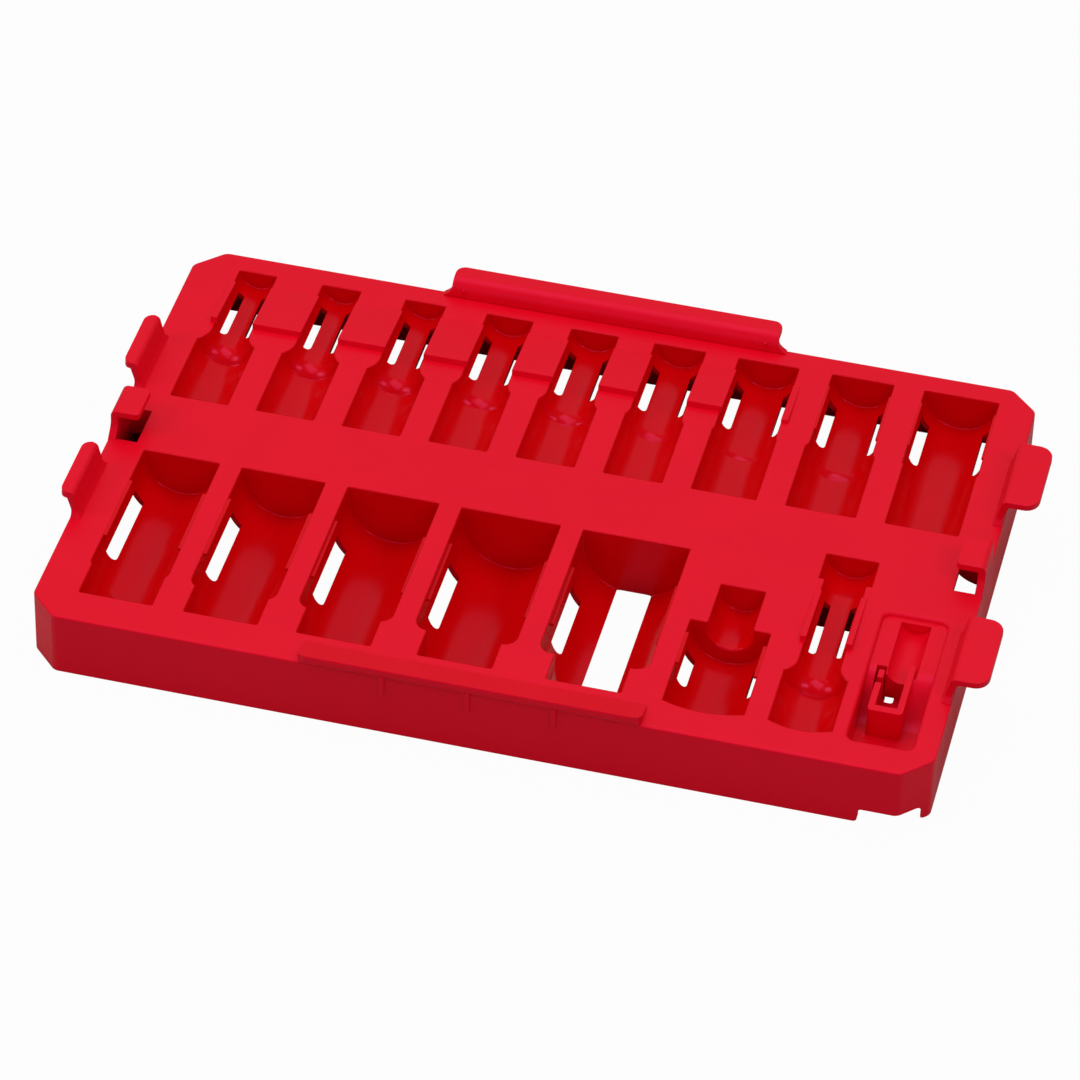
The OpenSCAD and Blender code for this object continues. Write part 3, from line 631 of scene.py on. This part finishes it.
def pit(name, g, height):
    return block(name, (holder_x - holder_w / 2 - g, holder_y + front_t - g, deep - g),
                 (holder_x + holder_w / 2 + g, step_y + g, height))


def finger_slot(name, g, foot, height):
    return block(name, (finger_x - holder_t / 2 - room_out - g, finger_y - room_end - g, foot),
                 (finger_x + holder_t / 2 + room_in + g, finger_y + finger_l + room_end + g, height))


well = prism("adapter_well_shell", well_outline(shell_t), mm, top)
combine(well, [above_floor("under", shell_t)], "INTERSECT")
under_floor = shallow - 0.2 * mm
tube = groove("tube", shell_t)
combine(tube, [block("over", (well_x - 20 * mm, ya, under_floor), (well_x + 20 * mm, yb + 5 * mm, 2 * top))])
combine(well, [tube, pit("pit shell", shell_t, under_floor),
               finger_slot("slot shell", shell_t, deep + 0.2 * mm, under_floor)], "UNION")
pit_hole = rounded(holder_x - 1.4 * mm, 1.4 * mm, step_y - 1.9 * mm, step_y + 2.4 * mm, 0.8 * mm)
combine(well, [hollow, groove("groove", 0), pit("pit", 0, top + mm),
               finger_slot("slot", 0, deep + 2.2 * mm, top + mm),
               prism("hole", pit_hole, -mm, deep + 0.5 * mm)])
finish_piece(well, "tray", satin, "red_gloss", "adapter_well")


# ---- Square holder and its spring finger
# Walls of the same plastic stand round the pit on the slope and hold the square end of a drive adapter.
# One wall is moulded free, as a thin finger that springs outwards.
holder_l, wall_l, holder_corner = 21.9 * mm, 12.3 * mm, 1.3 * mm
pit_left, pit_right = holder_x - holder_w / 2, holder_x + holder_w / 2
holder = block("square_holder", (pit_left - holder_t, holder_y, deep - mm),
               (pit_right + holder_t, holder_y + holder_l, shallow))
round_edges(holder, lambda a, b: max(a.y, b.y) < holder_y + speck and upright(a, b), holder_corner, 5)
combine(holder, [pit("pit", 0, top + mm), block("behind", (pit_left, step_y - mm, 0), (pit_right, yb, top)),
                 block("left", (holder_x - 10 * mm, holder_y + wall_l, 0), (pit_left + speck, yb, top))])
combine(holder, [above_floor("floor", 0.8 * mm)], "INTERSECT")
soften(holder, 0.3 * mm, 2, 60)
finish_piece(holder, "tray", satin, "red_gloss", "adapter_holder")

finger = block("spring_finger", (finger_x - holder_t / 2, finger_y, deep + 1.4 * mm),
               (finger_x + holder_t / 2, finger_y + finger_l, shallow))
round_edges(finger, lambda a, b: min(a.z, b.z) > deep + 2 * mm or upright(a, b), 0.35 * mm, 3)
finish_piece(finger, "finger", satin, "red_gloss", "holder_finger")


# ---- Front flange
# A long solid rib, moulded on over the front wall, rises from the deck like a ramp and drops off in front.
# Three small ribs stand under it on the wall's face.

low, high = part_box("front_flange")
crest_y, end_r, face_y = low[1], 2.7 * mm, front + 0.02 * mm
profile = [(high[1], top - 0.3 * mm), (high[1], top), (crest_y + 0.2 * mm, high[2] - 0.1 * mm),
           (crest_y, high[2] - 0.4 * mm), (crest_y, top + 1.2 * mm),
           (face_y, top + 0.2 * mm), (face_y, top - 0.3 * mm)]
flange = strip("front_flange_ramp", profile, "x", low[0], high[0])
plan = ([(high[0], high[1] + mm), (low[0], high[1] + mm)]
        + arc(low[0] + end_r, crest_y + end_r, end_r, 180, 270)
        + arc(high[0] - end_r, crest_y + end_r, end_r, 270, 360))
combine(flange, [prism("plan", plan, 0, 2 * top)], "INTERSECT")
soften(flange, 0.15 * mm, 2, 30)
finish_piece(flange, "tray", satin, "red_satin", "front_flange")
rib_w, rib_out, rib_l = 1.6 * mm, 0.9 * mm, 6.3 * mm
for s in (1, 2, 3):
    x = low[0] + (high[0] - low[0]) * s / 4
    rib = block(f"front_rib_{s}", (x - rib_w / 2, front - rib_out, top - rib_l),
                (x + rib_w / 2, front + mm, top + mm))
    round_edges(rib, lambda a, b: max(a.y, b.y) < front, 0.55 * mm, 4)
    finish_piece(rib, "tray", satin, "red_satin")


# ---- Rear rail
# A thin wall, moulded on along the rear edge, whose top bends back into a lip. Its ends spread into the
# deck, and a small rib stands near each end on its front face.

def slice_foot(piece, foot_z, height):
    """Cuts a wall's foot into five level bands."""
    only(piece)
    for k in (1, 2, 3, 4, 5):
        bpy.ops.object.mode_set(mode="EDIT")
        bpy.ops.mesh.select_all(action="SELECT")
        bpy.ops.mesh.bisect(plane_co=(0, 0, foot_z + height * k / 5), plane_no=(0, 0, 1))
        bpy.ops.object.mode_set(mode="OBJECT")


def spread_foot(piece, foot_z, height, along, across, middle, axis):
    """Curves a wall's foot outwards where it runs into the deck."""
    slice_foot(piece, foot_z, height)
    for point in piece.data.vertices:
        h = (point.co.z - foot_z) / height
        if h < 1:
            k = (1 - max(h, 0)) ** 2
            for i, much in ((axis, along), (1 - axis, across)):
                point.co[i] += math.copysign(much * k, point.co[i] - middle[i])


low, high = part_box("rear_rail")
web_t, rail_corner, rail_foot = 2.2 * mm, 3 * mm, 3.6 * mm
z = high[2]
profile = ([(rear - web_t, top), (rear, top), (rear, z - web_t), (high[1], z - web_t), (high[1], z)]
           + arc(rear + web_t, z - 2 * web_t, 2 * web_t, 90, 180))
rail = strip("rear_rail_bent", profile, "x", low[0], high[0])
round_edges(rail, lambda a, b: both_at(1, high[1], a, b) and abs(a.x - b.x) < speck, rail_corner, 6)
soften(rail, 0.4 * mm, 2)
spread_foot(rail, top, rail_foot, 3 * mm, 0.2 * mm, (0, rear - web_t / 2), 0)
finish_piece(rail, "tray", satin, "red_satin", "rear_rail")
rib_end, rib_w, rib_out, rib_below = 4 * mm, 0.6 * mm, 0.4 * mm, 2.6 * mm
for x in (low[0] + rib_end, high[0] - rib_end):
    rib = block("rail_rib", (x - rib_w / 2, rear - web_t - rib_out, top - 0.1 * mm),
                (x + rib_w / 2, rear - mm, z - rib_below))
    round_edges(rib, lambda a, b: max(a.y, b.y) < rear - web_t, 0.2 * mm, 2)
    finish_piece(rib, "tray", satin, "red_satin")


# ---- Side catches
# On each side a short wall, moulded on over the skirt, carries a plate over the hole in the deck, and its
# foot runs out forwards. A rounded web under the deck stiffens the rear end of the hole.
plate_l, plate_t, reach, catch_t = 13.2 * mm, 2.2 * mm, 9 * mm, 2.4 * mm
run_out, run_h, web_r, gusset_t, web_stretch = 4 * mm, 5 * mm, 8 * mm, 1.5 * mm, 1.35
for side, sign in (("left", -1), ("right", 1)):
    low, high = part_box(side + "_catch")
    z, edge_x, ya = high[2], (low[0] if sign < 0 else high[0]), high[1] - plate_l
    inner_x, face_x = edge_x - sign * reach, edge_x - sign * catch_t
    profile = [(edge_x, top - mm), (edge_x, z), (inner_x, z), (inner_x, z - plate_t),
               (face_x, z - plate_t), (face_x, top - mm)]
    catch = strip(side + "_catch_plate", profile, "y", ya, high[1])
    round_edges(catch, lambda a, b: both_at(0, edge_x, a, b) and min(a.z, b.z) > top, 2 * mm, 6)
    round_edges(catch, lambda a, b: both_at(0, inner_x, a, b) and upright(a, b), 1.5 * mm, 5)
    soften(catch, 0.3 * mm, 2)
    slice_foot(catch, top, run_h)
    for point in catch.data.vertices:
        h = (point.co.z - top) / run_h
        if h < 1 and point.co.y < ya + mm:
            point.co.y -= run_out * (1 - max(h, 0)) ** 2
    finish_piece(catch, "tray", satin, "red_satin", side + "_catch")
    wall_x, under, web_y = edge_x - sign * wall_t / 2, top - deck_t + 0.3 * mm, high[1] + 0.1 * mm
    web = [(wall_x, under)]
    web += [(wall_x - sign * web_stretch * u, under + v) for u, v in arc(0, 0, web_r, 270, 325)]
    web.append((web[-1][0], under))
    gusset = strip(side + "_hole_web", web, "y", web_y, web_y + gusset_t)
    finish_piece(gusset, "tray", satin, "red_satin")


# ---- Hook tabs
# Two springy tabs on each side, moulded on at a narrow root: a leaning wall, bent over outwards into a lip
# with rounded corners. They flex a few degrees about their roots when the tray snaps into its case.
root_in, foot_out, t, lean = 1.8 * mm, 1.7 * mm, 2.2 * mm, 1.6 * mm
outer_r, inner_r, tab_foot = 2 * mm, 0.8 * mm, 2.6 * mm
for name in ("left_front_tab", "left_rear_tab", "right_front_tab", "right_rear_tab"):
    low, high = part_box(name)
    sign = -1 if name.startswith("left") else 1
    root_x = (left if sign < 0 else right) - sign * root_in
    tip_x, z = (low[0] if sign < 0 else high[0]), high[2]
    ya, yb = low[1] + foot_out, high[1] - foot_out

    def at(x, height):
        return root_x + sign * x, height

    outer_bend = arc(lean - t / 2 + outer_r, z - outer_r, outer_r, 90, 180, 6)
    inner_bend = arc(lean + t / 2 + inner_r, z - t - inner_r, inner_r, 180, 90, 4)
    profile = [at(-t / 2, top), at(t / 2, top)] + [at(*p) for p in inner_bend] + [(tip_x, z - t), (tip_x, z)]
    profile += [at(*p) for p in outer_bend]
    tab = strip(name + "_hook", profile, "y", ya, yb)
    tip_r = 4.5 * mm if sign > 0 else 3 * mm
    round_edges(tab, lambda a, b: both_at(0, tip_x, a, b) and upright(a, b), tip_r, 7)
    soften(tab, 0.4 * mm, 2, 50)
    spread_foot(tab, top, tab_foot, foot_out, 0.5 * mm, (root_x, (ya + yb) / 2), 1)
    finish_piece(tab, name + "_body", satin, "red_satin", name)


# ---- Finished deck
# The deck and the skirt are smoothed last, when every opening has been cut. They stand for the deck's
# plates, the webs between the pockets and the four walls.
webs = [f"rear_web_{i}" for i in range(1, 9)] + [f"front_web_{i}" for i in range(1, 8)]
finish_piece(deck, "tray", satin, "red_satin", "deck_left", "deck_right", "deck_middle", "deck_rear",
             "deck_front", "front_wall", "rear_wall", "left_wall", "right_wall", *webs)


# ---- Studio
# A floor of white paper under a large soft lamp, with a wide lamp behind that the plastic mirrors, a small
# one on each side and a weak one in front.
bpy.ops.object.select_all(action="DESELECT")
bpy.ops.mesh.primitive_plane_add(size=8, location=(0, 0, -0.0002))
floor = bpy.context.object
floor.name = "floor"

# the paper is white to the camera, and a matt grey to the light that falls on it
paper = bpy.data.materials.new("white paper")
paper.use_nodes = True
nodes, links = paper.node_tree.nodes, paper.node_tree.links
matt = nodes["Principled BSDF"]
matt.inputs["Base Color"].default_value = (0.35, 0.35, 0.35, 1)
matt.inputs["Roughness"].default_value = 0.9
shown = nodes.new("ShaderNodeEmission")
shown.inputs["Color"].default_value = (1, 1, 1, 1)
shown.inputs["Strength"].default_value = 1
ray = nodes.new("ShaderNodeLightPath")
share = nodes.new("ShaderNodeMath")
share.operation = "MULTIPLY"
share.inputs[1].default_value = 0.97
mix = nodes.new("ShaderNodeMixShader")
links.new(ray.outputs["Is Camera Ray"], share.inputs[0])
links.new(share.outputs[0], mix.inputs["Fac"])
links.new(matt.outputs["BSDF"], mix.inputs[1])
links.new(shown.outputs["Emission"], mix.inputs[2])
links.new(mix.outputs["Shader"], nodes["Material Output"].inputs["Surface"])
floor.data.materials.append(paper)
floor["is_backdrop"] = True

# the room is white to the camera, lights the tray less, and mirrors least of all in it
sky = bpy.data.worlds.new("studio")
bpy.context.scene.world = sky
sky.use_nodes = True
nodes, links = sky.node_tree.nodes, sky.node_tree.links
white = nodes["Background"]
white.inputs["Color"].default_value = (1, 1, 1, 1)
ray = nodes.new("ShaderNodeLightPath")
level = nodes.new("ShaderNodeMapRange")
level.inputs["To Min"].default_value = 0.4
level.inputs["To Max"].default_value = 1.0
mirrored = nodes.new("ShaderNodeMath")
mirrored.operation = "MULTIPLY_ADD"
mirrored.inputs[1].default_value = -0.27
links.new(ray.outputs["Is Camera Ray"], level.inputs["Value"])
links.new(ray.outputs["Is Glossy Ray"], mirrored.inputs[0])
links.new(level.outputs["Result"], mirrored.inputs[2])
links.new(mirrored.outputs[0], white.inputs["Strength"])


def lamp(name, place, size, power):
    light = bpy.data.lights.new(name, "AREA")
    light.shape = "RECTANGLE"
    light.size, light.size_y = size
    light.energy = power
    stand = bpy.data.objects.new(name, light)
    stand.location = place
    stand.rotation_euler = (-Vector(place)).to_track_quat("-Z", "Y").to_euler()
    bpy.context.scene.collection.objects.link(stand)


lamp("overhead", (-0.1, 0.15, 1.3), (1.3, 0.9), 7.3)
lamp("behind", (-0.2, 1.0, 0.88), (2.2, 0.6), 1.3)
lamp("left", (-0.95, -0.35, 0.75), (0.35, 0.5), 2.3)
lamp("right", (0.8, -0.45, 0.9), (0.35, 0.5), 2.3)
lamp("front", (0.1, -1.2, 0.6), (1.2, 0.6), 1.5)

camera = bpy.data.cameras.new("camera")
camera.sensor_width = 36
camera.lens = 184.06
camera.clip_end = 20
tripod = bpy.data.objects.new("camera", camera)
tripod.matrix_world = Matrix(((0.96994, -0.17657, 0.16745, 0.27518), (0.24203, 0.62854, -0.73916, -1.23761),
                              (0.02526, 0.75747, 0.65238, 1.09498), (0, 0, 0, 1)))
bpy.context.scene.collection.objects.link(tripod)
bpy.context.scene.camera = tripod
bpy.context.scene.view_settings.view_transform = "Standard"

low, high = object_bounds()
